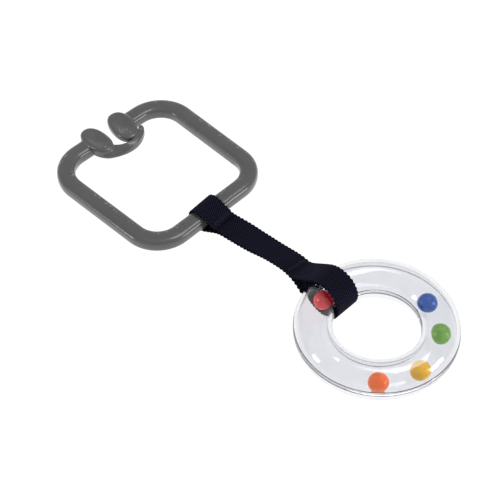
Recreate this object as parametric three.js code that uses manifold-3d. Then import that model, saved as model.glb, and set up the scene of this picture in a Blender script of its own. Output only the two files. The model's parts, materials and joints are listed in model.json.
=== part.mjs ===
// A pram toy: a snap-open clip link, a sewn webbing strap and a clear rattle ring with five loose beads.
// Millimetres. It lies on a table: +X runs from the clip's open side along the strap to the ring, +Z is up.
import * as THREE from "three";
import { mergeVertices } from "three/addons/utils/BufferGeometryUtils.js";
import Module from "manifold-3d";

const wasm = await Module();
wasm.setup();

const HALF_TURN = Math.PI;
const QUARTER_TURN = Math.PI / 2;

// Clip link. Its own frame has its origin on the strap bar, with z = 0 at the bars' mid-plane.
// Its centre line is a rounded square that is a little skewed. The open side is between the last corner and the first.
const CLIP_CORNERS = [
  { x: -75.1, y: 38.9, radius: 15.8 },
  { x: 0, y: 34.7, radius: 15 },
  { x: 0, y: -37.1, radius: 15 },
  { x: -78, y: -35.5, radius: 13.5 },
];
const BAR_WIDTH = 9;
const BAR_THICKNESS = 7;
const BAR_ROUNDING = 2.6;
const ARM_FLEX_Y = -18; // where the hook arm bends, at the start of its straight stretch
const ARM_SLIT = 1.2; // parts the hook arm from the frame, and is wide enough for the flex

// Oval thumb pads on the two ends of the open side, dished on top and narrower below
const PAD_TOP = 4.9;
const PAD_UNDERSIDE = -2;
const PAD_WALL = 3.3; // height of the pad's upright rim
const PAD_EDGE = 1.2; // radius of the rim's rounded top edge
const PAD_DISH = 1.3; // depth of the thumb hollow
const HOOK_PAD = { x: -74.3, y: -7.2, length: 21.4, width: 11.7, turn: THREE.MathUtils.degToRad(-2) };
const CATCH_PAD = { x: -73.2, y: 8.7, length: 20.8, width: 12, turn: THREE.MathUtils.degToRad(-15) };

// Hook: a tapering arc from the hook arm, under the hook pad and around the inner end of the catch pad.
// Each station has an angle round the hook's centre, an inner radius and an outer radius.
const HOOK_CENTRE = { x: -76.05, y: 3.5 };
const HOOK_STATIONS = [
  [-80, 11, 17.6],
  [-50, 11.4, 17.6],
  [-32, 12.4, 17.3],
  [-12, 14.2, 17.3],
  [5, 14.6, 17.3],
  [38, 14.6, 17.2],
  [52, 14.5, 16.7],
];
const HOOK_TOP = 3.6;
const HOOK_THICKNESS = 4.2;
const HOOK_ROUNDING = 0.9;

// Webbing: one strip, sewn into a loop round the clip's bar and a loop round the ring's tube
const WEBBING_WIDTH = 14; // nominally 15, less what its scalloped edges take
const WEBBING_THICKNESS = 1.1;
const PLY_THICKNESS = 2.6; // of the two layers where they lie together
const STRAP_Y = -1.9; // the strap's centre line. Its own frame starts at the bar's axis
const CLIP_LOOP_RADIUS = 4.9; // inside, clear of the bar's corners
const CLIP_LOOP_CLOSES = 12; // where the layers meet, from the bar's axis
const FLEX_X = 50; // where the two webbing bodies hinge on each other
const FLEX_GAP = 0.3;

// Rattle ring: two clear half shells joined at the tube's mid-height
const RING_RADIUS = 29.7; // of the tube's centre line
const TUBE_RADIUS = 9.2;
const SHELL_WALL = 1.8;
const RING_X = 109.4; // the ring's centre, from the bar's axis
const WELD_GAP = 0.3;
const LIP_THICKNESS = 0.6; // the lower shell's lip stands inside the upper shell
const LIP_HEIGHT = 1;
const RING_LOOP_RADIUS = 10.1; // inside
const RING_LOOP_SHIFT = 0.75; // towards the ring's hole, because the tube curves across the strap
const RING_LOOP_CLOSES = 19.5; // from the loop's centre back to where the layers meet
const TUBE_CLEARANCE = 0.35; // between the tube and the webbing under it

// Beads that roll in the ring's channel. Each angle is counted round the ring from +X.
const BEAD_RADIUS = 4.9;
const BEAD_CLEARANCE = 0.3;
const BEADS = {
  bead_red: { angle: 188.5, colour: "#c9383f" },
  bead_blue: { angle: 77, colour: "#2d68b2" },
  bead_green: { angle: 40, colour: "#58a63c" },
  bead_yellow: { angle: -6.5, colour: "#f0b92d" },
  bead_orange: { angle: -47, colour: "#ee6a2b" },
};

// Seams: a zigzag of thread across the strap, lying just proud of it
const THREAD_RADIUS = 0.3;
const SEAM_PASSES = 9;
const SEAM_DEPTH = 2.6; // along the strap
const SEAM_MARGIN = 1.2; // from the webbing's edges
const CLIP_SEAM_X = 15.5;
const RING_SEAM_X = 57.3;

// How the pieces lie. The strap's loops pass under the bar and the tube, so the clip and the ring tilt a little,
// and the stiff strap bridges from the bar's height to the tube's.
const BAR_Z = CLIP_LOOP_RADIUS + WEBBING_THICKNESS;
const CLIP_TILT = Math.asin((BAR_Z - BAR_THICKNESS / 2) / -CLIP_CORNERS[3].x);
const NEAR_TUBE_Z = WEBBING_THICKNESS + TUBE_CLEARANCE + TUBE_RADIUS;
const RING_TILT = Math.asin((NEAR_TUBE_Z - TUBE_RADIUS) / (2 * RING_RADIUS));
const RING_Z = (NEAR_TUBE_Z + TUBE_RADIUS) / 2;
const RING_LOOP_X = RING_X - RING_RADIUS + RING_LOOP_SHIFT;
const RING_LOOP_Z = RING_LOOP_RADIUS + WEBBING_THICKNESS;
const STRAP_LENGTH = Math.hypot(RING_LOOP_X, RING_LOOP_Z - BAR_Z);
const STRAP_RISE = Math.asin((RING_LOOP_Z - BAR_Z) / STRAP_LENGTH);

const greyPlastic = new THREE.MeshStandardMaterial({ color: "#5c5c5c", roughness: 0.4 });
const navyWebbing = new THREE.MeshStandardMaterial({ color: "#11132b", roughness: 0.95 });
const navyThread = new THREE.MeshStandardMaterial({ color: "#1b1e3d", roughness: 0.8 });
const clearPlastic = new THREE.MeshStandardMaterial({
  color: "#e9f1f5",
  roughness: 0.08,
  transparent: true,
  opacity: 0.3,
});

function toSolid(geometry) {
  const bare = geometry.index ? geometry.toNonIndexed() : geometry.clone();
  bare.deleteAttribute("normal");
  bare.deleteAttribute("uv");
  const merged = mergeVertices(bare, 1e-3);
  const mesh = new wasm.Mesh({
    numProp: 3,
    vertProperties: new Float32Array(merged.attributes.position.array),
    triVerts: new Uint32Array(merged.index.array),
  });
  return new wasm.Manifold(mesh);
}

function toGeometry(solid) {
  const mesh = solid.getMesh();
  const geometry = new THREE.BufferGeometry();
  geometry.setAttribute("position", new THREE.BufferAttribute(mesh.vertProperties, 3));
  geometry.setIndex(new THREE.BufferAttribute(mesh.triVerts, 1));
  geometry.computeVertexNormals();
  return geometry;
}

function join(...geometries) {
  return toGeometry(geometries.map(toSolid).reduce((whole, next) => whole.add(next)));
}

// A plan outline made into a plate with rounded edges, centred on z = 0
function roundedPlate(outline, thickness, rounding, curveSegments) {
  const geometry = new THREE.ExtrudeGeometry(outline, {
    depth: thickness - 2 * rounding,
    bevelThickness: rounding,
    bevelSize: rounding,
    bevelOffset: -rounding,
    bevelSegments: 3,
    curveSegments,
  });
  return geometry.translate(0, 0, rounding - thickness / 2);
}

// The arcs that round the centre line's corners, which run clockwise
function cornerArcs() {
  return CLIP_CORNERS.map((corner, i) => {
    const before = CLIP_CORNERS[(i + 3) % 4];
    const after = CLIP_CORNERS[(i + 1) % 4];
    const heading = (from, to) => Math.atan2(to.y - from.y, to.x - from.x);
    const start = heading(before, corner) + QUARTER_TURN;
    const end = heading(corner, after) + QUARTER_TURN;
    const turn = (start - end + 4 * HALF_TURN) % (2 * HALF_TURN);
    const reach = corner.radius / Math.cos(turn / 2);
    const inward = start - turn / 2 + HALF_TURN;
    return {
      x: corner.x + reach * Math.cos(inward),
      y: corner.y + reach * Math.sin(inward),
      radius: corner.radius,
      start,
      end: start - turn,
    };
  });
}

// The open side's centre line, at a place across the clip
function openSideX(y) {
  const [top, , , bottom] = CLIP_CORNERS;
  return THREE.MathUtils.mapLinear(y, bottom.y, top.y, bottom.x, top.x);
}

// The frame's outline: round the outer edge to the slit, and back along the inner edge to the catch pad
function frameOutline() {
  const half = BAR_WIDTH / 2;
  const slitY = ARM_FLEX_Y - ARM_SLIT / 2;
  const arcs = cornerArcs();
  const outline = new THREE.Shape();
  for (const { x, y, radius, start, end } of arcs) outline.absarc(x, y, radius + half, start, end, true);
  outline.lineTo(openSideX(slitY) - half, slitY);
  outline.lineTo(openSideX(slitY) + half, slitY);
  for (const { x, y, radius, start, end } of arcs.reverse())
    outline.absarc(x, y, radius - half, end, start, false);
  outline.lineTo(openSideX(CATCH_PAD.y) + half, CATCH_PAD.y);
  outline.lineTo(openSideX(CATCH_PAD.y) - half, CATCH_PAD.y);
  return outline;
}

function armOutline() {
  const half = BAR_WIDTH / 2;
  const start = ARM_FLEX_Y + ARM_SLIT / 2;
  const outline = new THREE.Shape();
  outline.moveTo(openSideX(start) - half, start);
  outline.lineTo(openSideX(start) + half, start);
  outline.lineTo(openSideX(HOOK_PAD.y) + half, HOOK_PAD.y);
  outline.lineTo(openSideX(HOOK_PAD.y) - half, HOOK_PAD.y);
  return outline;
}

function hookOutline() {
  const stepsBetween = 3;
  const outer = [];
  const inner = [];
  const place = (angle, radius) => {
    const turn = THREE.MathUtils.degToRad(angle);
    return new THREE.Vector2(
      HOOK_CENTRE.x + radius * Math.cos(turn),
      HOOK_CENTRE.y + radius * Math.sin(turn),
    );
  };
  for (let i = 1; i < HOOK_STATIONS.length; i++) {
    for (let step = i > 1 ? 1 : 0; step <= stepsBetween; step++) {
      const [angle, innerRadius, outerRadius] = HOOK_STATIONS[i].map((value, k) =>
        THREE.MathUtils.lerp(HOOK_STATIONS[i - 1][k], value, step / stepsBetween),
      );
      outer.push(place(angle, outerRadius));
      inner.push(place(angle, innerRadius));
    }
  }
  const [tipAngle, tipInner, tipOuter] = HOOK_STATIONS.at(-1);
  const tip = place(tipAngle, (tipInner + tipOuter) / 2);
  const start = THREE.MathUtils.degToRad(tipAngle);
  const outline = new THREE.Shape(outer.slice(0, -1));
  outline.absarc(tip.x, tip.y, (tipOuter - tipInner) / 2, start, start + HALF_TURN, false);
  for (const point of inner.reverse().slice(1)) outline.lineTo(point.x, point.y);
  return outline;
}

// An oval pad: a round dished button, turned on a lathe and stretched along its length
function padGeometry({ x, y, length, width, turn }) {
  const radius = width / 2;
  const edgeSteps = 3;
  const dishSteps = 4;
  const wallFoot = PAD_TOP - PAD_WALL;
  const profile = [
    new THREE.Vector2(0, PAD_UNDERSIDE),
    new THREE.Vector2(radius + PAD_UNDERSIDE - wallFoot, PAD_UNDERSIDE),
    new THREE.Vector2(radius, wallFoot),
  ];
  for (let i = 0; i <= edgeSteps; i++) {
    const angle = (QUARTER_TURN * i) / edgeSteps;
    profile.push(
      new THREE.Vector2(
        radius - PAD_EDGE + PAD_EDGE * Math.cos(angle),
        PAD_TOP - PAD_EDGE + PAD_EDGE * Math.sin(angle),
      ),
    );
  }
  for (let i = dishSteps - 1; i >= 0; i--) {
    const across = i / dishSteps;
    const depth = PAD_DISH * Math.cos(across * QUARTER_TURN) ** 2;
    profile.push(new THREE.Vector2((radius - PAD_EDGE) * across, PAD_TOP - depth));
  }
  return new THREE.LatheGeometry(profile, 24)
    .rotateX(QUARTER_TURN)
    .scale(length / width, 1, 1)
    .rotateZ(turn)
    .translate(x, y, 0);
}

// One end of the strap: a loop round the origin, closing into two plies that run along +X to their end
function webbingEnd({ loopRadius, closes, reach, roundEnd }) {
  const half = PLY_THICKNESS / 2;
  const outerRadius = loopRadius + WEBBING_THICKNESS;
  const wrapStart = (radius, x, z) => Math.atan2(z, x) + Math.acos(radius / Math.hypot(x, z));
  const outerStart = wrapStart(outerRadius, closes, half);
  const outline = new THREE.Shape();
  outline.moveTo(closes, -half);
  outline.lineTo(reach, -half);
  if (roundEnd) outline.absarc(reach, 0, half, -QUARTER_TURN, QUARTER_TURN, false);
  outline.lineTo(reach, half);
  outline.lineTo(closes, half);
  outline.absarc(0, 0, outerRadius, outerStart, -outerStart, false);

  const innerEnd = closes - WEBBING_THICKNESS;
  const innerStart = wrapStart(loopRadius, innerEnd, 0);
  const opening = new THREE.Path();
  opening.absarc(0, 0, loopRadius, innerStart, -innerStart, false);
  opening.lineTo(innerEnd, 0);
  outline.holes.push(opening);

  const geometry = new THREE.ExtrudeGeometry(outline, {
    depth: WEBBING_WIDTH,
    bevelEnabled: false,
    curveSegments: 14,
  });
  return geometry.rotateX(QUARTER_TURN).translate(0, WEBBING_WIDTH / 2, 0);
}

// A zigzag of thread centred on the origin, which crosses the strap from edge to edge
function seamGeometry() {
  const reach = WEBBING_WIDTH / 2 - SEAM_MARGIN;
  const points = [];
  for (let i = 0; i <= SEAM_PASSES; i++) {
    const x = (i % 2 ? 0.5 : -0.5) * SEAM_DEPTH;
    points.push(new THREE.Vector3(x, THREE.MathUtils.lerp(-reach, reach, i / SEAM_PASSES), 0));
  }
  const section = new THREE.Shape();
  section.absarc(0, 0, THREAD_RADIUS, 0, 2 * HALF_TURN, false);
  return new THREE.ExtrudeGeometry(section, {
    extrudePath: new THREE.CatmullRomCurve3(points),
    steps: SEAM_PASSES * 5,
    curveSegments: 3,
    bevelEnabled: false,
  });
}

// A half shell's closed profile: the outer skin, the joint at mid-height and the channel's wall.
// side is 1 for the upper half and -1 for the lower half.
function shellGeometry(side) {
  const steps = 8;
  const inside = TUBE_RADIUS - SHELL_WALL;
  const joint = WELD_GAP / 2;
  const lipOuter = inside + LIP_THICKNESS;
  const rebate = lipOuter + WELD_GAP;
  // each joint edge runs from the outer skin to the channel's wall: distance from the tube's axis, then height
  const lowerEdge = [[TUBE_RADIUS, joint], [lipOuter, joint], [lipOuter, -LIP_HEIGHT], [inside, -LIP_HEIGHT]];
  const upperTop = LIP_HEIGHT + WELD_GAP;
  const upperEdge = [[TUBE_RADIUS, joint], [rebate, joint], [rebate, upperTop], [inside, upperTop]];
  const edge = side > 0 ? upperEdge : lowerEdge;
  const profile = [];
  const add = (across, height) => profile.push(new THREE.Vector2(RING_RADIUS + across, side * height));
  const arc = (radius, startHeight, direction) => {
    const start = Math.asin(startHeight / radius);
    for (let i = 1; i < steps; i++) {
      const angle = THREE.MathUtils.lerp(start, HALF_TURN - start, i / steps);
      add(direction * radius * Math.cos(angle), radius * Math.sin(angle));
    }
  };
  arc(TUBE_RADIUS, joint, 1);
  for (const [across, height] of edge) add(-across, height);
  arc(inside, side > 0 ? upperTop : -LIP_HEIGHT, -1);
  for (const [across, height] of [...edge].reverse()) add(across, height);
  profile.push(profile[0].clone());
  if (side < 0) profile.reverse();
  return new THREE.LatheGeometry(profile, 48).rotateX(QUARTER_TURN);
}

function addPiece(group, name, geometry, material) {
  const piece = new THREE.Mesh(geometry, material);
  piece.name = name;
  group.add(piece);
  return piece;
}

function makeClip() {
  const clip = new THREE.Group();
  clip.position.z = BAR_Z;
  clip.rotation.y = -CLIP_TILT;
  const frame = roundedPlate(frameOutline(), BAR_THICKNESS, BAR_ROUNDING, 4);
  const arm = roundedPlate(armOutline(), BAR_THICKNESS, BAR_ROUNDING, 4);
  const hook = roundedPlate(hookOutline(), HOOK_THICKNESS, HOOK_ROUNDING, 3);
  hook.translate(0, 0, HOOK_TOP - HOOK_THICKNESS / 2);
  addPiece(clip, "clip_frame", join(frame, padGeometry(CATCH_PAD)), greyPlastic);
  addPiece(clip, "clip_hook_arm", join(arm, hook, padGeometry(HOOK_PAD)), greyPlastic);
  return clip;
}

function makeStrap() {
  const strap = new THREE.Group();
  strap.position.set(0, STRAP_Y, BAR_Z);
  strap.rotation.y = -STRAP_RISE;
  const clipEnd = webbingEnd({
    loopRadius: CLIP_LOOP_RADIUS,
    closes: CLIP_LOOP_CLOSES,
    reach: FLEX_X,
    roundEnd: true,
  });
  addPiece(strap, "webbing_clip_end", clipEnd, navyWebbing);
  const ringEnd = webbingEnd({
    loopRadius: RING_LOOP_RADIUS,
    closes: RING_LOOP_CLOSES,
    reach: STRAP_LENGTH - FLEX_X - PLY_THICKNESS / 2 - FLEX_GAP,
    roundEnd: false,
  });
  const placed = addPiece(strap, "webbing_ring_end", ringEnd, navyWebbing);
  placed.rotation.z = HALF_TURN;
  placed.position.x = STRAP_LENGTH;
  for (const [name, x] of [["clip_seam_thread", CLIP_SEAM_X], ["ring_seam_thread", RING_SEAM_X]]) {
    const thread = addPiece(strap, name, seamGeometry(), navyThread);
    thread.position.set(x, 0, PLY_THICKNESS / 2 + 2 * THREAD_RADIUS);
  }
  return strap;
}

function makeRing() {
  const ring = new THREE.Group();
  ring.position.set(RING_X, STRAP_Y, RING_Z);
  ring.rotation.y = RING_TILT;
  addPiece(ring, "ring_upper_shell", shellGeometry(1), clearPlastic);
  addPiece(ring, "ring_lower_shell", shellGeometry(-1), clearPlastic);
  const drop = TUBE_RADIUS - SHELL_WALL - BEAD_RADIUS - BEAD_CLEARANCE;
  for (const [name, { angle, colour }] of Object.entries(BEADS)) {
    const gloss = new THREE.MeshStandardMaterial({ color: colour, roughness: 0.2 });
    const bead = addPiece(ring, name, new THREE.SphereGeometry(BEAD_RADIUS, 14, 10), gloss);
    const turn = THREE.MathUtils.degToRad(angle);
    bead.position.set(RING_RADIUS * Math.cos(turn), RING_RADIUS * Math.sin(turn), -drop);
  }
  return ring;
}

// The toy is shifted as a whole, so that the origin is at the middle of its footprint, on the table.
const toy = new THREE.Group();
toy.add(makeClip(), makeStrap(), makeRing());
toy.updateMatrixWorld(true);
const extent = new THREE.Box3().setFromObject(toy, true);
const middle = extent.getCenter(new THREE.Vector3());
toy.position.set(-middle.x, -middle.y, -extent.min.z);

const root = new THREE.Group();
root.add(toy);

export default root;
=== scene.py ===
"""A clip-on rattle ring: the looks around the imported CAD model.

Lengths are in millimetres, and MM turns them into the row frame's metres. The clip, the webbing and the ring
each have a frame of their own, taken from the CAD joints.
"""

import json
import math

import bmesh
import bpy
import numpy as np
from mathutils import Matrix, Vector


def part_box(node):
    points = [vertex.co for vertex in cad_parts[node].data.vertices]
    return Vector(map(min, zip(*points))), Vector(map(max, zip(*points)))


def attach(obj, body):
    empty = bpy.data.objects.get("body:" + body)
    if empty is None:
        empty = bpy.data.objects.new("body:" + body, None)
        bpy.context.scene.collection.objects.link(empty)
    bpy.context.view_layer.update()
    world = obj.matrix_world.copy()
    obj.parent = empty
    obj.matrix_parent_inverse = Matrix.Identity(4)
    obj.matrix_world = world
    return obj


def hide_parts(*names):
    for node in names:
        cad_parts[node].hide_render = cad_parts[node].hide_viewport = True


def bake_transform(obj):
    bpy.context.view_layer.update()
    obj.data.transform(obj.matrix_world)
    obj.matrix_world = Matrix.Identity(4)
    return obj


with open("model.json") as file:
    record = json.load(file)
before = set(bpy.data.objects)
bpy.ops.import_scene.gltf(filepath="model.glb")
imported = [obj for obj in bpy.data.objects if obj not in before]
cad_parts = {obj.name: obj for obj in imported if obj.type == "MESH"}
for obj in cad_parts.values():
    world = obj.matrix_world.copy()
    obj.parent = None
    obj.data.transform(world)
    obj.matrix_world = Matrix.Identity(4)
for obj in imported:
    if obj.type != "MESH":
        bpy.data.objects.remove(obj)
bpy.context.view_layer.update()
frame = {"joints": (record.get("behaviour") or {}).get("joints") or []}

MM = 0.001

# Clip: a rounded square of bar, a little skewed and open on its -X side.
# Each corner is (x, y, radius of the centre line).
CLIP_CORNERS = [(-75.1, 38.9, 15.8), (0, 34.7, 15.5), (0, -37.1, 15), (-78, -35.5, 17)]
BAR_HALF = (4.65, 3.6)
BAR_SQUARENESS = 3.2
BAR_STEP = 0.8
HIDDEN_JOIN_Y = -3.1  # where the clip's two pieces meet, under the webbing
HIDDEN_OVERLAP = 4  # how far each half of the bar runs past the join before it is trimmed
TRIM_REACH = (10, 6)  # how far from the strap bar's middle, and from the join, the trimming looks
CATCH_BAR_END = 2.5  # the bar's ends, in Y from each pad's centre
HOOK_BAR_END = -2
PAD_TOP = 4.9
PAD_WALL_FOOT = 1.5
PAD_UNDERSIDE = -2.0
PAD_EDGE = 1.2
PAD_DISH = 1.15
HOOK_PAD = {"centre": (-74.8, -7.2), "half": (10.4, 5.9), "turn": -2}
CATCH_PAD = {"centre": (-73.0, 9.1), "half": (10.8, 6.35), "turn": -14}
PAD_SQUARENESS = 2.3
HOOK_CENTRE = (-76.05, 3.5)
HOOK_TIP_ANGLE = 5.5  # degrees over which the hook closes to its tip
HOOK_SQUARENESS = 5
HOOK_STATIONS = [
    # angle, inner and outer radius, then the height of the inner top edge, outer top edge and underside
    (-86, 14.0, 17.0, 3.2, 1.5, -0.7),
    (-76, 13.6, 17.1, 3.4, 1.5, -0.7),
    (-60, 12.2, 17.8, 3.8, 1.8, -0.7),
    (-50, 11.4, 18.0, 4.6, 1.8, -0.7),
    (-44, 11.4, 17.9, 4.9, 1.7, -0.7),
    (-35, 12.1, 17.4, 4.8, 1.2, -0.7),
    (-22, 12.9, 17.1, 4.7, 1.4, -0.7),
    (-8, 13.6, 17.2, 4.7, 2.9, -0.7),
    (1, 13.9, 17.3, 4.6, 3.5, -0.7),
    (18, 14.0, 17.4, 4.5, 4.0, -0.6),
    (38, 14.0, 17.4, 4.2, 3.9, -0.4),
    (50, 14.1, 16.9, 3.9, 3.5, 0.0),
    (56, 14.2, 16.4, 3.7, 3.4, 0.2),
]
CLIP_VOXEL = 0.34
CLIP_SMOOTHING = 6

# Webbing: one strip of tape. Heights are above the bar's axis, and places are along the strap from it.
WEB_WIDTH = 14.0
WEB_THICKNESS = 1.1
WEFT_PITCH = 2.2
RIB_COUNT = 13
PICK_PITCH = WEFT_PITCH / 2  # between the knuckles along a rib
RIB_HEIGHT = 0.22
SCALLOP = 0.65
BAR_LOOP_RADIUS = 5.78  # smoothing draws the loop in by a third of a millimetre
RING_LOOP_RADIUS = 10.65
CLIP_SEAM_FROM_END = 1.9
RING_SEAM_FROM_START = 51.4
SEAM_WIDTH = 11.0
SEAM_DEPTH = 2.0
SEAM_PASSES = 24
THREAD_RADIUS = 0.16
THREAD_LAY = 0.9  # length of one twist of the thread
THREAD_GROOVE = 0.16  # depth of the twist's grooves, as a share of the radius
STITCH_LIFT = 0.06
STITCH_DIP = 0.3
WEB_STEP = WEFT_PITCH / 8
WEB_ACROSS = 127

# Ring and beads
RING_RADIUS = 29.7
TUBE_RADIUS = 9.2
SHELL_WALL = 1.8
SEAM_GAP = 0.05
SEAM_CHAMFER = 0.18
LIP_THICKNESS = 0.6
LIP_HEIGHT = 1.0
SHELL_STEPS = 224
SHARP_EDGE = math.radians(25)
BEAD_RADIUS = 4.9
BEAD_RIDGE = 0.05
BEAD_DIMPLE = 0.22


def joint(name):
    return next(j for j in frame["joints"] if j["name"] == name)


def place(origin, x_axis=None, z_axis=None):
    """A frame in millimetres with its Y across the strap, given by one of its other two axes."""
    y = Vector((0, 1, 0))
    if x_axis is not None:
        x = Vector(x_axis).normalized()
        z = x.cross(y)
    else:
        z = Vector(z_axis).normalized()
        x = y.cross(z)
    turned = Matrix((x, y, z)).transposed().to_4x4()
    return Matrix.Translation(Vector(origin)) @ turned @ Matrix.Scale(MM, 4)


CLIP_FRAME = place(joint("strap_swing")["pos_m"], x_axis=joint("hook_flex")["axis"])
WEB_FRAME = place(joint("strap_swing")["pos_m"], x_axis=(1, 0, 0))
RING_FRAME = place(joint("ring_spin")["pos_m"], z_axis=joint("ring_spin")["axis"])


# ---------------------------------------------------------------- mesh helpers


def make_object(name, points, faces, matrix):
    mesh = bpy.data.meshes.new(name)
    mesh.from_pydata(np.asarray(points, float).tolist(), [], faces)
    mesh.transform(matrix)
    mesh.update()
    mesh.shade_smooth()
    obj = bpy.data.objects.new(name, mesh)
    bpy.context.scene.collection.objects.link(obj)
    return obj


def grid_faces(rows, columns, close_rows=False, close_columns=True):
    """Quads over a rows x columns grid of points, stored row by row."""
    i = np.arange(rows if close_rows else rows - 1)[:, None]
    j = np.arange(columns if close_columns else columns - 1)[None, :]
    below, beside = (i + 1) % rows, (j + 1) % columns
    corners = [i * columns + j, i * columns + beside, below * columns + beside, below * columns + j]
    return np.stack(corners, axis=-1).reshape(-1, 4).tolist()


def skin(sections):
    """A closed shell through a row of closed sections, with flat ends."""
    rows, columns = sections.shape[:2]
    faces = grid_faces(rows, columns)
    faces.append(list(range(columns))[::-1])
    faces.append([(rows - 1) * columns + k for k in range(columns)])
    return sections.reshape(-1, 3), faces


def merge(shells):
    points, faces, count = [], [], 0
    for shell_points, shell_faces in shells:
        points.append(shell_points)
        faces += [[k + count for k in face] for face in shell_faces]
        count += len(shell_points)
    return np.concatenate(points), faces


def superellipse(half_width, half_height, squareness, count=48):
    turn = np.arange(count) * 2 * math.pi / count
    power = 2 / squareness
    across = half_width * np.sign(np.cos(turn)) * np.abs(np.cos(turn)) ** power
    up = half_height * np.sign(np.sin(turn)) * np.abs(np.sin(turn)) ** power
    return across, up


def apply_modifiers(obj):
    graph = bpy.context.evaluated_depsgraph_get()
    mesh = bpy.data.meshes.new_from_object(obj.evaluated_get(graph))
    obj.modifiers.clear()
    obj.data = mesh
    mesh.shade_smooth()
    return obj


def smoothstep(value, low, high):
    t = np.clip((np.asarray(value, float) - low) / (high - low), 0, 1)
    return t * t * (3 - 2 * t)


# ---------------------------------------------------------------- material helpers


class Nodes:
    """Short calls for building a material's nodes."""

    def __init__(self, name):
        self.material = bpy.data.materials.new(name)
        self.material.use_nodes = True
        self.tree = self.material.node_tree
        self.shader = self.tree.nodes["Principled BSDF"]
        self.output = self.tree.nodes["Material Output"]

    def add(self, kind, **settings):
        node = self.tree.nodes.new("ShaderNode" + kind)
        for key, value in settings.items():
            setattr(node, key, value)
        return node

    def link(self, source, target):
        self.tree.links.new(source, target)

    def math(self, operation, first, second=0.0, third=0.0):
        node = self.add("Math", operation=operation)
        for socket, value in zip(node.inputs, (first, second, third)):
            if isinstance(value, bpy.types.NodeSocket):
                self.link(value, socket)
            else:
                socket.default_value = value
        return node.outputs[0]

    def noise(self, scale, detail=2.0, roughness=0.5, vector=None):
        node = self.add("TexNoise")
        node.inputs["Scale"].default_value = scale
        node.inputs["Detail"].default_value = detail
        node.inputs["Roughness"].default_value = roughness
        self.link(vector or self.position(), node.inputs["Vector"])
        return node.outputs["Fac"]

    def position(self):
        return self.add("TexCoord").outputs["Object"]

    def ramp(self, source, stops):
        node = self.add("ValToRGB")
        for _ in range(len(stops) - 2):
            node.color_ramp.elements.new(0.5)
        for element, (at, colour) in zip(node.color_ramp.elements, stops):
            element.position = at
            element.color = (*colour, 1)
        self.link(source, node.inputs["Fac"])
        return node.outputs["Color"]

    def remap(self, source, low, high, to_low, to_high):
        node = self.add("MapRange")
        self.link(source, node.inputs["Value"])
        for key, value in zip(("From Min", "From Max", "To Min", "To Max"), (low, high, to_low, to_high)):
            node.inputs[key].default_value = value
        return node.outputs["Result"]

    def mix(self, factor, first, second):
        """A mix of two colours. Its sockets go by number, because the data types share their names."""
        node = self.add("Mix", data_type="RGBA")
        for index, value in ((0, factor), (6, first), (7, second)):
            if isinstance(value, bpy.types.NodeSocket):
                self.link(value, node.inputs[index])
            else:
                node.inputs[index].default_value = (*value, 1)
        return node.outputs[2]

    def bump(self, height, strength, distance):
        node = self.add("Bump")
        node.inputs["Strength"].default_value = strength
        node.inputs["Distance"].default_value = distance
        self.link(height, node.inputs["Height"])
        self.link(node.outputs["Normal"], self.shader.inputs["Normal"])
        return node

    def set(self, **values):
        for key, value in values.items():
            self.shader.inputs[key.replace("_", " ").title().replace("Ior", "IOR")].default_value = value


# Painted glints: pale flecks are painted only on the rounded edges that tilt this way, where a lamp's
# reflection would sparkle in the grain.
GLINT_SIDE = (-0.55, 0.57, 0)  # the flecks lie on edges that tilt this way
GLINT_CELLS = 900  # per metre


def grey_plastic():
    """Satin moulded plastic: a faint mottle, a fine grain, and painted glints: tiny pale flecks on the
    rounded edges that tilt one way.
    """
    n = Nodes("grey_plastic")
    base = n.ramp(n.noise(90, 3), [(0.3, (0.07, 0.07, 0.071)), (0.7, (0.081, 0.081, 0.082))])
    spots = n.add("TexVoronoi")
    spots.inputs["Scale"].default_value = GLINT_CELLS
    n.link(n.position(), spots.inputs["Vector"])
    near = n.remap(spots.outputs["Distance"], 0.26, 0.38, 1, 0)
    normal = n.add("TexCoord").outputs["Normal"]
    tilt = n.add("VectorMath", operation="DOT_PRODUCT")
    n.link(normal, tilt.inputs[0])
    tilt.inputs[1].default_value = GLINT_SIDE
    up = n.add("SeparateXYZ")
    n.link(normal, up.inputs[0])
    starts = n.remap(tilt.outputs["Value"], 0.03, 0.06, 0, 1)
    ends = n.remap(tilt.outputs["Value"], 0.2, 0.3, 1, 0)
    edge = n.math("MULTIPLY", n.math("MULTIPLY", starts, ends), n.remap(up.outputs["Z"], 0.55, 0.7, 0, 1))
    scattered = n.math("GREATER_THAN", n.noise(330, 1), 0.54)
    # painted glints: the pale flecks mixed into the base colour stand in for a lamp's sparkle on the edge,
    # not for wear
    painted_glints = n.math("MULTIPLY", n.math("MULTIPLY", near, edge), scattered)
    n.link(n.mix(n.math("MULTIPLY", painted_glints, 0.85), base, (0.34, 0.34, 0.34)), n.shader.inputs["Base Color"])
    n.link(n.remap(n.noise(420, 3), 0.3, 0.7, 0.28, 0.36), n.shader.inputs["Roughness"])
    n.set(coat_weight=0.6, coat_roughness=0.08)
    n.bump(n.noise(2600, 2), 0.2, 0.00003)
    return n.material


YARN_TWIST = (0.42, 0.3)  # between the twist's turns: along the tape, across it


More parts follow.
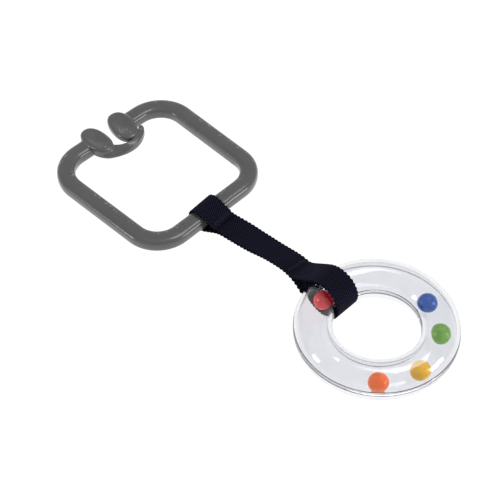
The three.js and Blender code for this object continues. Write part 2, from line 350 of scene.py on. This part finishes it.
def webbing_cloth():
    """Dark navy tape: yarns that twist along each rib, a painted highlight on each knuckle of the weave with
    painted shade between, and a faint sheen.
    """
    n = Nodes("navy_webbing")
    uv = n.add("UVMap", uv_map="weave")
    split = n.add("SeparateXYZ")
    n.link(uv.outputs["UV"], split.inputs[0])
    along, across = split.outputs["X"], split.outputs["Y"]
    rib = n.math("MULTIPLY_ADD", across, RIB_COUNT / WEB_WIDTH, RIB_COUNT / 2)
    ridge = n.math("ABSOLUTE", n.math("SINE", n.math("MULTIPLY", rib, math.pi)))
    stagger = n.math("MULTIPLY", n.math("FLOOR", rib), 0.5)
    pick = n.math("MULTIPLY_ADD", along, 1 / PICK_PITCH, stagger)
    pinch = n.math("ABSOLUTE", n.math("SINE", n.math("MULTIPLY", pick, math.pi)))
    knuckle = n.math("MULTIPLY", ridge, pinch)
    turns_along = n.math("MULTIPLY", along, 2 * math.pi / YARN_TWIST[0])
    turns_across = n.math("MULTIPLY", across, 2 * math.pi / YARN_TWIST[1])
    twist = n.math("ADD", turns_along, turns_across)
    yarn = n.math("MULTIPLY_ADD", n.math("SINE", twist), 0.5, 0.5)
    patch = n.noise(220, 3)
    # Painted highlight and shade: each knuckle's top is painted paler and the grooves between them darker, on
    # top of a patchy tone.
    patchy_tone_and_knuckle_light = n.math("MULTIPLY_ADD", patch, 0.35, n.math("MULTIPLY", knuckle, 0.75))
    shade = n.math("MULTIPLY_ADD", yarn, 0.12, patchy_tone_and_knuckle_light)
    stops = [(0.35, (0.0003, 0.0003, 0.001)), (0.65, (0.0012, 0.0013, 0.006)), (1.0, (0.026, 0.027, 0.075))]
    n.link(n.ramp(shade, stops), n.shader.inputs["Base Color"])
    n.link(n.remap(patch, 0.3, 0.7, 0.75, 0.95), n.shader.inputs["Roughness"])
    n.set(sheen_weight=0.03, sheen_roughness=0.4, specular_ior_level=0.1)
    n.shader.inputs["Sheen Tint"].default_value = (0.35, 0.35, 0.75, 1)
    n.bump(n.math("MULTIPLY_ADD", yarn, 0.3, knuckle), 0.8, 0.0001)
    return n.material


def seam_thread_cloth():
    n = Nodes("navy_thread")
    fibres = n.noise(5200, 2)
    colour = n.ramp(fibres, [(0.3, (0.003, 0.003, 0.01)), (0.7, (0.012, 0.0125, 0.034))])
    n.link(colour, n.shader.inputs["Base Color"])
    n.link(n.remap(fibres, 0.3, 0.7, 0.45, 0.7), n.shader.inputs["Roughness"])
    n.set(specular_ior_level=0.2)
    n.bump(fibres, 0.5, 0.00004)
    return n.material


def clear_plastic():
    """Clear polished plastic with a faint cool tint and handling marks. Lamps shine through it."""
    n = Nodes("clear_plastic")
    marks = n.noise(150, 4, 0.6)
    tint = n.ramp(marks, [(0.3, (0.84, 0.845, 0.87)), (0.7, (0.87, 0.875, 0.9))])
    n.link(tint, n.shader.inputs["Base Color"])
    n.set(ior=1.5, roughness=0.02, transmission_weight=1.0)
    n.bump(marks, 0.08, 0.0002)
    path = n.add("LightPath")
    through = n.add("BsdfTransparent")
    through.inputs["Color"].default_value = (0.93, 0.94, 0.96, 1)
    mix = n.add("MixShader")
    n.link(path.outputs["Is Shadow Ray"], mix.inputs[0])
    n.link(n.shader.outputs[0], mix.inputs[1])
    n.link(through.outputs[0], mix.inputs[2])
    n.link(mix.outputs[0], n.output.inputs["Surface"])
    return n.material


def bead_plastic(name, dark, light):
    """Glossy moulded plastic with slow swirls of its colour and fine handling marks."""
    n = Nodes(name)
    swirl = n.noise(260, 3, 0.6)
    n.link(n.ramp(swirl, [(0.3, dark), (0.7, light)]), n.shader.inputs["Base Color"])
    n.link(n.remap(n.noise(900, 3), 0.3, 0.7, 0.14, 0.24), n.shader.inputs["Roughness"])
    n.set(specular_ior_level=0.4)
    n.bump(n.noise(1500, 2), 0.1, 0.00003)
    return n.material


# ---------------------------------------------------------------- clip


def path_arc(centre, radius, start, end, steps=14):
    angles = np.radians(np.linspace(start, end, steps + 1))
    return [(centre[0] + radius * math.cos(a), centre[1] + radius * math.sin(a)) for a in angles]


def corner_arc(index):
    """Points round one corner of the clip's centre line. The corners run clockwise."""
    before, corner, after = (np.array(CLIP_CORNERS[(index + k) % 4][:2], float) for k in (-1, 0, 1))
    radius = CLIP_CORNERS[index][2]
    arriving, leaving = (math.atan2(*(b - a)[::-1]) for a, b in ((before, corner), (corner, after)))
    turn = (arriving - leaving) % (2 * math.pi)
    inward = arriving - turn / 2 - math.pi / 2
    reach = radius / math.cos(turn / 2)
    centre = corner + reach * np.array([math.cos(inward), math.sin(inward)])
    start = math.degrees(arriving + math.pi / 2)
    return path_arc(centre, radius, start, start - math.degrees(turn), 18)


def open_side_x(y):
    """Place of the open side's centre line."""
    (top_x, top_y, _), (bottom_x, bottom_y, _) = CLIP_CORNERS[0], CLIP_CORNERS[3]
    return bottom_x + (top_x - bottom_x) * (y - bottom_y) / (top_y - bottom_y)


def bar_path(side, last_y):
    """Centre line of half the bar, from under the webbing round to the pad. side is 1 for the +Y half."""
    start = [(0, HIDDEN_JOIN_Y - side * HIDDEN_OVERLAP)]
    if side > 0:
        corners = corner_arc(1)[::-1] + corner_arc(0)[::-1]
    else:
        corners = corner_arc(2) + corner_arc(3)
    return np.array([*start, *corners, (open_side_x(last_y), last_y)], float)


def resample(points, step):
    """Points a step apart along a line of points of any dimension."""
    points = np.asarray(points, float)
    lengths = np.concatenate([[0], np.cumsum(np.linalg.norm(np.diff(points, axis=0), axis=1))])
    count = max(2, round(lengths[-1] / step) + 1)
    at = np.linspace(0, lengths[-1], count)
    return np.stack([np.interp(at, lengths, points[:, k]) for k in range(points.shape[1])], axis=1), at


def directions(points):
    """Unit steps along a line of points."""
    d = np.gradient(points, axis=0)
    return d / np.linalg.norm(d, axis=1, keepdims=True)


def bar_shell(path):
    """A length of bar, with its section swept along the path."""
    points, _ = resample(path, BAR_STEP)
    ahead = directions(points)
    sideways = np.stack([-ahead[:, 1], ahead[:, 0]], axis=1)
    across, up = superellipse(*BAR_HALF, BAR_SQUARENESS)
    flat = points[:, None, :] + sideways[:, None, :] * across[None, :, None]
    heights = np.broadcast_to(up, flat.shape[:2])
    return skin(np.concatenate([flat, heights[..., None]], axis=-1))


def pad_shell(centre, half, turn):
    """An oval button: an upright rim with a soft edge, a thumb hollow, and sides that draw in below."""
    length, width = half
    foot = width + PAD_UNDERSIDE - PAD_WALL_FOOT
    flat = width - PAD_EDGE
    profile = [(0.03, PAD_UNDERSIDE), (foot, PAD_UNDERSIDE), (width, PAD_WALL_FOOT)]
    for angle in np.radians(np.linspace(0, 90, 8)):
        profile.append((flat + PAD_EDGE * math.cos(angle), PAD_TOP - PAD_EDGE + PAD_EDGE * math.sin(angle)))
    for share in np.linspace(0.96, 0.02, 16):
        depth = PAD_DISH * math.cos(share * math.pi / 2) ** 1.5
        profile.append((flat * share, PAD_TOP - depth))
    profile = np.array(profile)
    around = superellipse(1, 1, PAD_SQUARENESS, 96)
    outward = profile[:, 0][:, None] * length / width * around[0]
    sideways = profile[:, 0][:, None] * around[1]
    cosine, sine = math.cos(math.radians(turn)), math.sin(math.radians(turn))
    x = centre[0] + outward * cosine - sideways * sine
    y = centre[1] + outward * sine + sideways * cosine
    z = np.broadcast_to(profile[:, 1][:, None], x.shape)
    return skin(np.stack([x, y, z], axis=-1))


def hook_shell():
    """The hook: it flows out of the hook pad's rim with a sloping back, and narrows to a round tip."""
    stations = np.array(HOOK_STATIONS, float)
    angles = np.linspace(stations[0, 0], stations[-1, 0], 90)
    columns = [np.interp(angles, stations[:, 0], stations[:, k]) for k in range(1, 6)]
    inner, outer, inner_top, outer_top, under = columns
    reach = (angles[-1] - angles) / HOOK_TIP_ANGLE
    tip = np.sqrt(np.clip(1 - (1 - reach).clip(0, 0.995) ** 2, 0, 1))
    across, up = superellipse(0.5, 0.5, HOOK_SQUARENESS)
    across, up = across + 0.5, up + 0.5
    sections = []
    for k, angle in enumerate(np.radians(angles)):
        radius_middle = (inner[k] + outer[k]) / 2
        radius = radius_middle + (inner[k] + (outer[k] - inner[k]) * across - radius_middle) * tip[k]
        top = inner_top[k] + (outer_top[k] - inner_top[k]) * across
        height = under[k] + (top - under[k]) * up
        middle = (under[k] + inner_top[k]) / 2
        height = middle + (height - middle) * (0.55 + 0.45 * tip[k])
        x = HOOK_CENTRE[0] + radius * math.cos(angle)
        y = HOOK_CENTRE[1] + radius * math.sin(angle)
        sections.append(np.stack([x, y, height], axis=-1))
    return skin(np.array(sections)[:, ::-1])


def cut_at_hidden_join(obj, keep_side):
    """Trims the strap bar at the hidden join, and closes the cut with a flat face."""
    mesh = bmesh.new()
    mesh.from_mesh(obj.data)
    inward, sideways = TRIM_REACH
    bar = [v for v in mesh.verts if v.co.x > -inward and abs(v.co.y - HIDDEN_JOIN_Y) < sideways]
    faces = {f for v in bar for f in v.link_faces}
    edges = {e for f in faces for e in f.edges}
    corners = {v for f in faces for v in f.verts}
    bmesh.ops.bisect_plane(
        mesh,
        geom=[*corners, *edges, *faces],
        plane_co=(0, HIDDEN_JOIN_Y, 0),
        plane_no=(0, -keep_side, 0),
        clear_outer=True,
    )
    rim = [e for e in mesh.edges if e.is_boundary]
    caps = bmesh.ops.holes_fill(mesh, edges=rim, sides=0)["faces"]
    for face in caps:
        face.smooth = False
        for edge in face.edges:
            edge.smooth = False
    mesh.to_mesh(obj.data)
    mesh.free()


def clip_piece(name, shells, keep_side, material):
    """One piece of the clip: its shells made one skin, softened, and trimmed at the hidden join."""
    points, faces = merge(shells)
    obj = make_object(name, points, faces, Matrix.Identity(4))
    remesh = obj.modifiers.new("one skin", "REMESH")
    remesh.mode = "VOXEL"
    remesh.voxel_size = CLIP_VOXEL
    soften = obj.modifiers.new("soften", "SMOOTH")
    soften.factor = 0.5
    soften.iterations = CLIP_SMOOTHING
    apply_modifiers(obj)
    cut_at_hidden_join(obj, keep_side)
    obj.data.transform(CLIP_FRAME)
    obj.data.materials.clear()
    obj.data.materials.append(material)
    return obj


def make_clip():
    material = grey_plastic()
    catch_bar = bar_shell(bar_path(1, CATCH_PAD["centre"][1] + CATCH_BAR_END))
    hook_bar = bar_shell(bar_path(-1, HOOK_PAD["centre"][1] + HOOK_BAR_END))
    catch_side = [catch_bar, pad_shell(**CATCH_PAD)]
    hook_side = [hook_bar, pad_shell(**HOOK_PAD), hook_shell()]
    frame_piece = clip_piece("clip_frame_moulding", catch_side, 1, material)
    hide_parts("clip_frame")
    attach(frame_piece, "clip")
    arm_piece = clip_piece("clip_hook_moulding", hook_side, -1, material)
    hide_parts("clip_hook_arm")
    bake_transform(arm_piece)


# ---------------------------------------------------------------- webbing

# Stations of the webbing's middle line are (place along the strap, height, sideways place, rise, lean). The
# last two say how far the far edge goes up, and along, for each millimetre of width.
RUN_Y = -0.5
BAR_LOOP_Y = -3.1
RING_LOOP_Y = -1.5
UPPER_RUN = [
    (6.4, 0.7, -1.6, -0.01, 0),
    (11.2, 0.6, -1.5, 0.0, 0),
    (16.2, 0.6, -0.9, 0.0, 0),
    (21.6, 0.7, RUN_Y, 0.02, 0),
    (31.6, 1.7, RUN_Y, -0.03, 0),
    (41.6, 3.2, RUN_Y, -0.12, 0),
    (51.6, 4.6, RUN_Y, -0.12, 0),
    (56.6, 4.7, RUN_Y, -0.09, 0),
    (60.2, 3.8, -0.8, -0.08, 0),
]
LOWER_RUN = [
    (73.0, -3.4, RING_LOOP_Y, 0.0, 0),
    (68.2, -1.4, -1.1, -0.02, 0),
    (64.2, 1.2, -0.6, -0.06, 0),
    (60.8, 2.6, -0.2, -0.08, 0),
    (56.6, 3.4, 0.1, -0.1, 0),
    (51.6, 3.3, 0.2, -0.12, 0),
    (41.6, 1.9, 0.3, -0.12, 0),
    (31.6, 0.2, 0.0, 0.0, 0),
    (21.6, -0.8, -0.3, 0.03, 0),
    (12.2, -0.7, -1.3, 0.01, 0),
]
FLAP_END = (11.2, 1.9, BAR_LOOP_Y + 0.5, 0.0, 0)
RING_LOOP_CENTRE = (80.4, 5.2)
LOOP_FLARE = 0.06  # the loop round the bar is looser towards its far edge
ROUTE_STEP = 0.5
ROUTE_SOFTNESS = 4  # width of the smoothing, in steps of the route
TAPE_EDGE = 0.94  # share of the half width where the tape starts to thin
SEALED_END = 0.8  # length of each end that heat has flattened


def loop_stations(centre, radius, start, end, y, flare=0.0, steps=40):
    """Stations round an arc. A flare opens its upper part like a cone, and its near edge keeps its place."""
    stations = []
    for degrees in np.linspace(start, end, steps + 1):
        angle = math.radians(degrees)
        opening = flare * float(smoothstep(-degrees, 120, 215))
        reach = radius + opening * WEB_WIDTH / 2
        x, z = centre[0] + reach * math.cos(angle), centre[1] + reach * math.sin(angle)
        stations.append((x, z, y, opening * math.sin(angle), opening * math.cos(angle)))
    return stations


def webbing_line():
    """The strip's middle line: the upper run, the ring loop, the lower run, the bar loop and the flap."""
    over_tube = loop_stations(RING_LOOP_CENTRE, RING_LOOP_RADIUS, 128, -106, RING_LOOP_Y)
    round_bar = loop_stations((0, 0), BAR_LOOP_RADIUS, -72, -284, BAR_LOOP_Y, LOOP_FLARE)
    stations = [*UPPER_RUN, *over_tube, *LOWER_RUN, *round_bar, FLAP_END]
    points, _ = resample(stations, ROUTE_STEP)
    width = ROUTE_SOFTNESS
    kernel = np.exp(-0.5 * (np.arange(-3 * width, 3 * width + 1) / width) ** 2)
    kernel /= kernel.sum()
    before = 2 * points[0] - points[3 * width:0:-1]
    after = 2 * points[-1] - points[-2:-3 * width - 2:-1]
    padded = np.concatenate([before, points, after])
    smooth = np.stack([np.convolve(padded[:, k], kernel, "valid") for k in range(5)], axis=1)
    lengths = np.concatenate([[0], np.cumsum(np.linalg.norm(np.diff(smooth[:, :3], axis=0), axis=1))])
    at = np.linspace(0, lengths[-1], round(lengths[-1] / WEB_STEP) + 1)
    return np.stack([np.interp(at, lengths, smooth[:, k]) for k in range(5)], axis=1), at


def weave_relief(along, across):
    """Height of the weave from 0 to 1: lengthwise ribs, each pinched where the weft crosses it."""
    rib = across / WEB_WIDTH * RIB_COUNT
    ridge = np.abs(np.sin(math.pi * rib)) ** 0.7
    stagger = np.floor(rib) * 0.5
    pinch = np.abs(np.sin(math.pi * (along / PICK_PITCH + stagger)))
    return ridge * (0.45 + 0.55 * pinch ** 0.6)


def strip_frames(line):
    """Middle points of the strip, with its sideways and outward directions at each."""
    middle = line[:, [0, 2, 1]]
    ahead = directions(middle)
    sideways = np.stack([line[:, 4], np.ones(len(line)), line[:, 3]], axis=1)
    sideways -= ahead * (sideways * ahead).sum(1, keepdims=True)
    sideways /= np.linalg.norm(sideways, axis=1, keepdims=True)
    return middle, sideways, np.cross(ahead, sideways)


def make_webbing():
    """The tape and its seams. The weave stands on both faces, and the edges swell where the weft turns."""
    line, at = webbing_line()
    middle, sideways, outward = strip_frames(line)

    half = WEB_WIDTH / 2
    across = np.linspace(-half, half, WEB_ACROSS)
    edge = np.abs(across) / half
    thinning = np.clip((edge - TAPE_EDGE) / (1 - TAPE_EDGE), 0, 1)
    round_off = np.sqrt(np.clip(1 - thinning ** 2, 0, 1))
    scallop = SCALLOP * (np.abs(np.sin(math.pi * at / WEFT_PITCH)) - 0.5)
    spread = across[None, :] * (1 + scallop[:, None] / half * edge[None, :] ** 6)
    relief = weave_relief(at[:, None], across[None, :] + half)
    end = np.minimum(at, at[-1] - at)
    woven = smoothstep(end, 0, SEALED_END)[:, None]
    relief = relief * (0.3 + 0.7 * woven)
    depth = WEB_THICKNESS / 2 - RIB_HEIGHT + RIB_HEIGHT * relief
    depth = depth * (0.55 + 0.45 * woven) * (0.12 + 0.88 * round_off)

    base = middle[:, None, :] + sideways[:, None, :] * spread[..., None]
    upper = base + outward[:, None, :] * depth[..., None]
    lower = base - outward[:, None, :] * depth[..., None]
    rings = np.concatenate([upper, lower[:, ::-1]], axis=1)
    rows, columns = rings.shape[:2]
    faces = grid_faces(rows, columns)
    for row, flip in ((0, 1), (rows - 1, -1)):
        for j in range(WEB_ACROSS - 1):
            quad = [row * columns + k for k in (j, j + 1, columns - 2 - j, columns - 1 - j)]
            faces.append(quad[::-1] if flip == 1 else quad)
    obj = make_object("webbing_strip", rings.reshape(-1, 3), faces, WEB_FRAME)
    obj.data.update()

    uv = obj.data.uv_layers.new(name="weave")
    grid = np.stack(np.broadcast_arrays(at[:, None], across[None, :]), axis=-1)
    grid = np.concatenate([grid, grid[:, ::-1]], axis=1).reshape(-1, 2)
    corner = np.empty(len(obj.data.loops), np.int32)
    obj.data.loops.foreach_get("vertex_index", corner)
    uv.data.foreach_set("uv", grid[corner].astype(np.float32).ravel())
    obj.data.materials.append(webbing_cloth())
    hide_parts("webbing_clip_end", "webbing_ring_end")
    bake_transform(obj)
    make_seam("clip_seam_stitches", "clip_seam_thread", "strap", line, at, at[-1] - CLIP_SEAM_FROM_END)
    make_seam("ring_seam_stitches", "ring_seam_thread", "ring_loop", line, at, RING_SEAM_FROM_START)


def make_seam(name, node, body, line, at, place_along):
    """A bar tack: one twisted thread that zigzags across the strip and dips into it at every turn."""
    middle, sideways, outward = strip_frames(line)
    passes = np.linspace(0, SEAM_PASSES, SEAM_PASSES * 14 + 1)
    side = 1 - 2 * np.abs((passes / 2) % 1 - 0.5) * 2
    along = place_along + side * SEAM_DEPTH / 2
    across = (passes / SEAM_PASSES - 0.5) * SEAM_WIDTH
    lift = WEB_THICKNESS / 2 + STITCH_LIFT - STITCH_DIP * np.abs(side) ** 6

    def at_place(field):
        return np.stack([np.interp(along, at, field[:, k]) for k in range(3)], axis=1)

    centre = at_place(middle) + at_place(sideways) * across[:, None] + at_place(outward) * lift[:, None]
    ahead = directions(centre)
    first = np.cross(ahead, at_place(outward))
    first /= np.linalg.norm(first, axis=1, keepdims=True)
    second = np.cross(first, ahead)
    turn = np.arange(10) * 2 * math.pi / 10
    run = np.concatenate([[0], np.cumsum(np.linalg.norm(np.diff(centre, axis=0), axis=1))])
    twist = run[:, None] * 2 * math.pi / THREAD_LAY
    radius = THREAD_RADIUS * (1 + THREAD_GROOVE * np.cos(2 * turn[None, :] - twist))
    sections = (
        centre[:, None, :]
        + first[:, None, :] * (radius * np.cos(turn))[..., None]
        + second[:, None, :] * (radius * np.sin(turn))[..., None]
    )
    points, faces = skin(sections)
    obj = make_object(name, points, faces, WEB_FRAME)
    obj.data.materials.append(seam_thread_cloth())
    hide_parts(node)
    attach(obj, body)


# ---------------------------------------------------------------- ring


def shell_profile(side):
    """A half shell's closed section: (distance from the tube's middle, height). side is 1 above, -1 below."""
    inside = TUBE_RADIUS - SHELL_WALL
    joint_height = SEAM_GAP / 2
    lip_outer = inside + LIP_THICKNESS
    if side > 0:
        step, start_inner = lip_outer + SEAM_GAP, LIP_HEIGHT + SEAM_GAP
    else:
        step, start_inner = lip_outer, -LIP_HEIGHT
    rim = TUBE_RADIUS - SEAM_CHAMFER
    edge = [(rim, joint_height), (step, joint_height), (step, start_inner), (inside, start_inner)]
    profile = []
    outer_start = math.asin((joint_height + SEAM_CHAMFER) / TUBE_RADIUS)
    for angle in np.linspace(outer_start, math.pi - outer_start, 65):
        profile.append((TUBE_RADIUS * math.cos(angle), TUBE_RADIUS * math.sin(angle)))
    profile += [(-across, height) for across, height in edge]
    inner_start = math.asin(start_inner / inside)
    for angle in np.linspace(math.pi - inner_start, inner_start, 55)[1:-1]:
        profile.append((inside * math.cos(angle), inside * math.sin(angle)))
    profile += edge[::-1]
    return np.array([(across, side * height) for across, height in profile])


def make_shell(name, node, side, material):
    profile = shell_profile(side)
    turn = np.arange(SHELL_STEPS) * 2 * math.pi / SHELL_STEPS
    out = RING_RADIUS + profile[:, 0]
    x = np.cos(turn)[:, None] * out[None, :]
    y = np.sin(turn)[:, None] * out[None, :]
    z = np.broadcast_to(profile[:, 1][None, :], x.shape)
    faces = grid_faces(len(turn), len(profile), close_rows=True)
    if side > 0:
        faces = [f[::-1] for f in faces]
    obj = make_object(name, np.stack([x, y, z], axis=-1).reshape(-1, 3), faces, RING_FRAME)
    mesh = bmesh.new()
    mesh.from_mesh(obj.data)
    for edge in mesh.edges:
        if edge.calc_face_angle(0) > SHARP_EDGE:
            edge.smooth = False
    mesh.to_mesh(obj.data)
    mesh.free()
    obj.data.materials.append(material)
    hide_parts(node)
    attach(obj, "ring")


# Each bead's darker colour, lighter colour, and turns about X, Y and Z in degrees
BEADS = {
    "bead_red": ((0.7, 0.012, 0.022), (0.88, 0.022, 0.036), (25, 40, 10)),
    "bead_blue": ((0.002, 0.06, 0.3), (0.003, 0.085, 0.42), (70, 15, 130)),
    "bead_green": ((0.12, 0.31, 0.022), (0.17, 0.42, 0.04), (110, 60, 200)),
    "bead_yellow": ((0.76, 0.4, 0.001), (0.92, 0.51, 0.002), (35, 80, 300)),
    "bead_orange": ((0.9, 0.12, 0.001), (1.0, 0.17, 0.002), (60, 130, 70)),
}


def make_bead(node, dark, light, turns):
    """A moulded bead: a ball with a faint parting ridge round it and a dimple where it left its runner."""
    low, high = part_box(node)
    rings, segments = 72, 96
    polar = np.linspace(0.03, math.pi - 0.03, rings)[:, None]
    turn = (np.arange(segments) * 2 * math.pi / segments)[None, :]
    ridge = BEAD_RIDGE * np.exp(-(((polar - math.pi / 2) / 0.03) ** 2))
    dimple = BEAD_DIMPLE * np.exp(-((polar / 0.16) ** 2))
    radius = BEAD_RADIUS - BEAD_RIDGE + ridge - dimple
    out = radius * np.sin(polar)
    up = np.broadcast_to(radius * np.cos(polar), (rings, segments))
    points, faces = skin(np.stack([out * np.cos(turn), out * np.sin(turn), up], axis=-1))
    spin = Matrix.Rotation(math.radians(turns[0]), 4, "X")
    for angle, axis in zip(turns[1:], "YZ"):
        spin = Matrix.Rotation(math.radians(angle), 4, axis) @ spin
    placed = Matrix.Translation((low + high) / 2) @ spin @ Matrix.Scale(MM, 4)
    obj = make_object(node + "_moulding", points, faces, placed)
    slot = node.replace("bead_", "") + "_bead"
    obj.data.materials.append(bead_plastic(slot, dark, light))
    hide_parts(node)
    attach(obj, node)


def make_ring():
    material = clear_plastic()
    make_shell("ring_upper_half", "ring_upper_shell", 1, material)
    make_shell("ring_lower_half", "ring_lower_shell", -1, material)
    for node, (dark, light, turns) in BEADS.items():
        make_bead(node, dark, light, turns)


# ---------------------------------------------------------------- studio

FLOOR_GLOW = 1.03
FLOOR_Z = -0.17  # below the lowest place that the ring swings to
FLOOR_REACH = 5
AWAY_FROM_CAMERA = (-0.694, 0.72, 0)
WALL_SHADES = (0.5, 0.8)  # brightness of the walls at the camera's back and behind the object
# Light from above the walls: (height of the direction, shade)
ROOM_SHADES = [(0.08, 0.0), (0.4, 0.6), (0.84, 0.6), (0.94, 0.7)]


def make_floor():
    """White paper, lit from below as well, so that hardly any shadow shows on it."""
    mesh = bpy.data.meshes.new("floor")
    r, z = FLOOR_REACH, FLOOR_Z
    mesh.from_pydata([(-r, -r, z), (r, -r, z), (r, r, z), (-r, r, z)], [], [(0, 1, 2, 3)])
    floor = bpy.data.objects.new("floor", mesh)
    bpy.context.scene.collection.objects.link(floor)
    n = Nodes("floor_paper")
    n.set(roughness=0.9, specular_ior_level=0.0, emission_strength=FLOOR_GLOW)
    n.shader.inputs["Base Color"].default_value = (0.05, 0.05, 0.05, 1)
    n.shader.inputs["Emission Color"].default_value = (1, 1, 1, 1)
    floor.data.materials.append(n.material)


def make_world():
    """A white room. Its wall behind the object is brighter than the one at the camera's back."""
    world = bpy.data.worlds.new("studio")
    world.use_nodes = True
    tree = world.node_tree
    nodes = tree.nodes

    def remap(source, low, high, to_low, to_high):
        node = nodes.new("ShaderNodeMapRange")
        tree.links.new(source, node.inputs["Value"])
        for key, value in zip(("From Min", "From Max", "To Min", "To Max"), (low, high, to_low, to_high)):
            node.inputs[key].default_value = value
        return node

    direction = nodes.new("ShaderNodeTexCoord").outputs["Generated"]
    split = nodes.new("ShaderNodeSeparateXYZ")
    tree.links.new(direction, split.inputs[0])
    facing = nodes.new("ShaderNodeVectorMath")
    facing.operation = "DOT_PRODUCT"
    tree.links.new(direction, facing.inputs[0])
    facing.inputs[1].default_value = AWAY_FROM_CAMERA
    walls = remap(facing.outputs["Value"], -0.8, 0.8, *WALL_SHADES)
    low = remap(split.outputs["Z"], ROOM_SHADES[0][0], ROOM_SHADES[1][0], 0, 0)
    tree.links.new(walls.outputs["Result"], low.inputs["To Min"])
    above = nodes.new("ShaderNodeValToRGB")
    tree.links.new(split.outputs["Z"], above.inputs["Fac"])
    for _ in range(len(ROOM_SHADES) - 2):
        above.color_ramp.elements.new(0.5)
    for element, (height, shade) in zip(above.color_ramp.elements, ROOM_SHADES):
        element.position, element.color = height, (shade, shade, shade, 1)
    total = nodes.new("ShaderNodeMath")
    tree.links.new(low.outputs["Result"], total.inputs[0])
    tree.links.new(above.outputs["Color"], total.inputs[1])
    tree.links.new(total.outputs[0], nodes["Background"].inputs["Strength"])
    nodes["Background"].inputs["Color"].default_value = (1, 1, 1.01, 1)
    bpy.context.scene.world = world


def add_lamp(name, position, target, size, energy):
    data = bpy.data.lights.new(name, "AREA")
    data.shape = "RECTANGLE"
    data.size, data.size_y = size
    data.energy = energy
    lamp = bpy.data.objects.new(name, data)
    lamp.location = position
    lamp.rotation_euler = (Vector(target) - Vector(position)).to_track_quat("-Z", "Y").to_euler()
    bpy.context.scene.collection.objects.link(lamp)


def make_lights():
    add_lamp("overhead", (0.1, 0.45, 1.3), (0, 0, 0), (0.7, 0.5), 4)
    add_lamp("right_box", (1.0, 0.515, 0.32), (-0.03, -0.025, 0), (0.4, 0.35), 3.5)
    add_lamp("left_box", (-0.63, -1.04, 0.32), (-0.04, -0.04, 0), (0.25, 0.35), 2.5)


CAMERA_AZIMUTH = 43.97
CAMERA_ELEVATION = 48.71
CAMERA_DISTANCE = 0.8792
CAMERA_TARGET = (-0.003582, -0.002483, 0)
CAMERA_LENS = 130.1


def make_camera():
    data = bpy.data.cameras.new("camera")
    data.lens = CAMERA_LENS
    data.sensor_width = 36
    camera = bpy.data.objects.new("camera", data)
    azimuth, elevation = math.radians(CAMERA_AZIMUTH), math.radians(CAMERA_ELEVATION)
    level = math.cos(elevation)
    back = Vector((math.sin(azimuth) * level, -math.cos(azimuth) * level, math.sin(elevation)))
    camera.location = Vector(CAMERA_TARGET) + back * CAMERA_DISTANCE
    camera.rotation_euler = back.to_track_quat("Z", "Y").to_euler()
    bpy.context.scene.collection.objects.link(camera)
    bpy.context.scene.camera = camera


make_camera()
make_world()
make_lights()
make_floor()
make_clip()
make_ring()
make_webbing()
bpy.context.scene.view_settings.view_transform = "Standard"
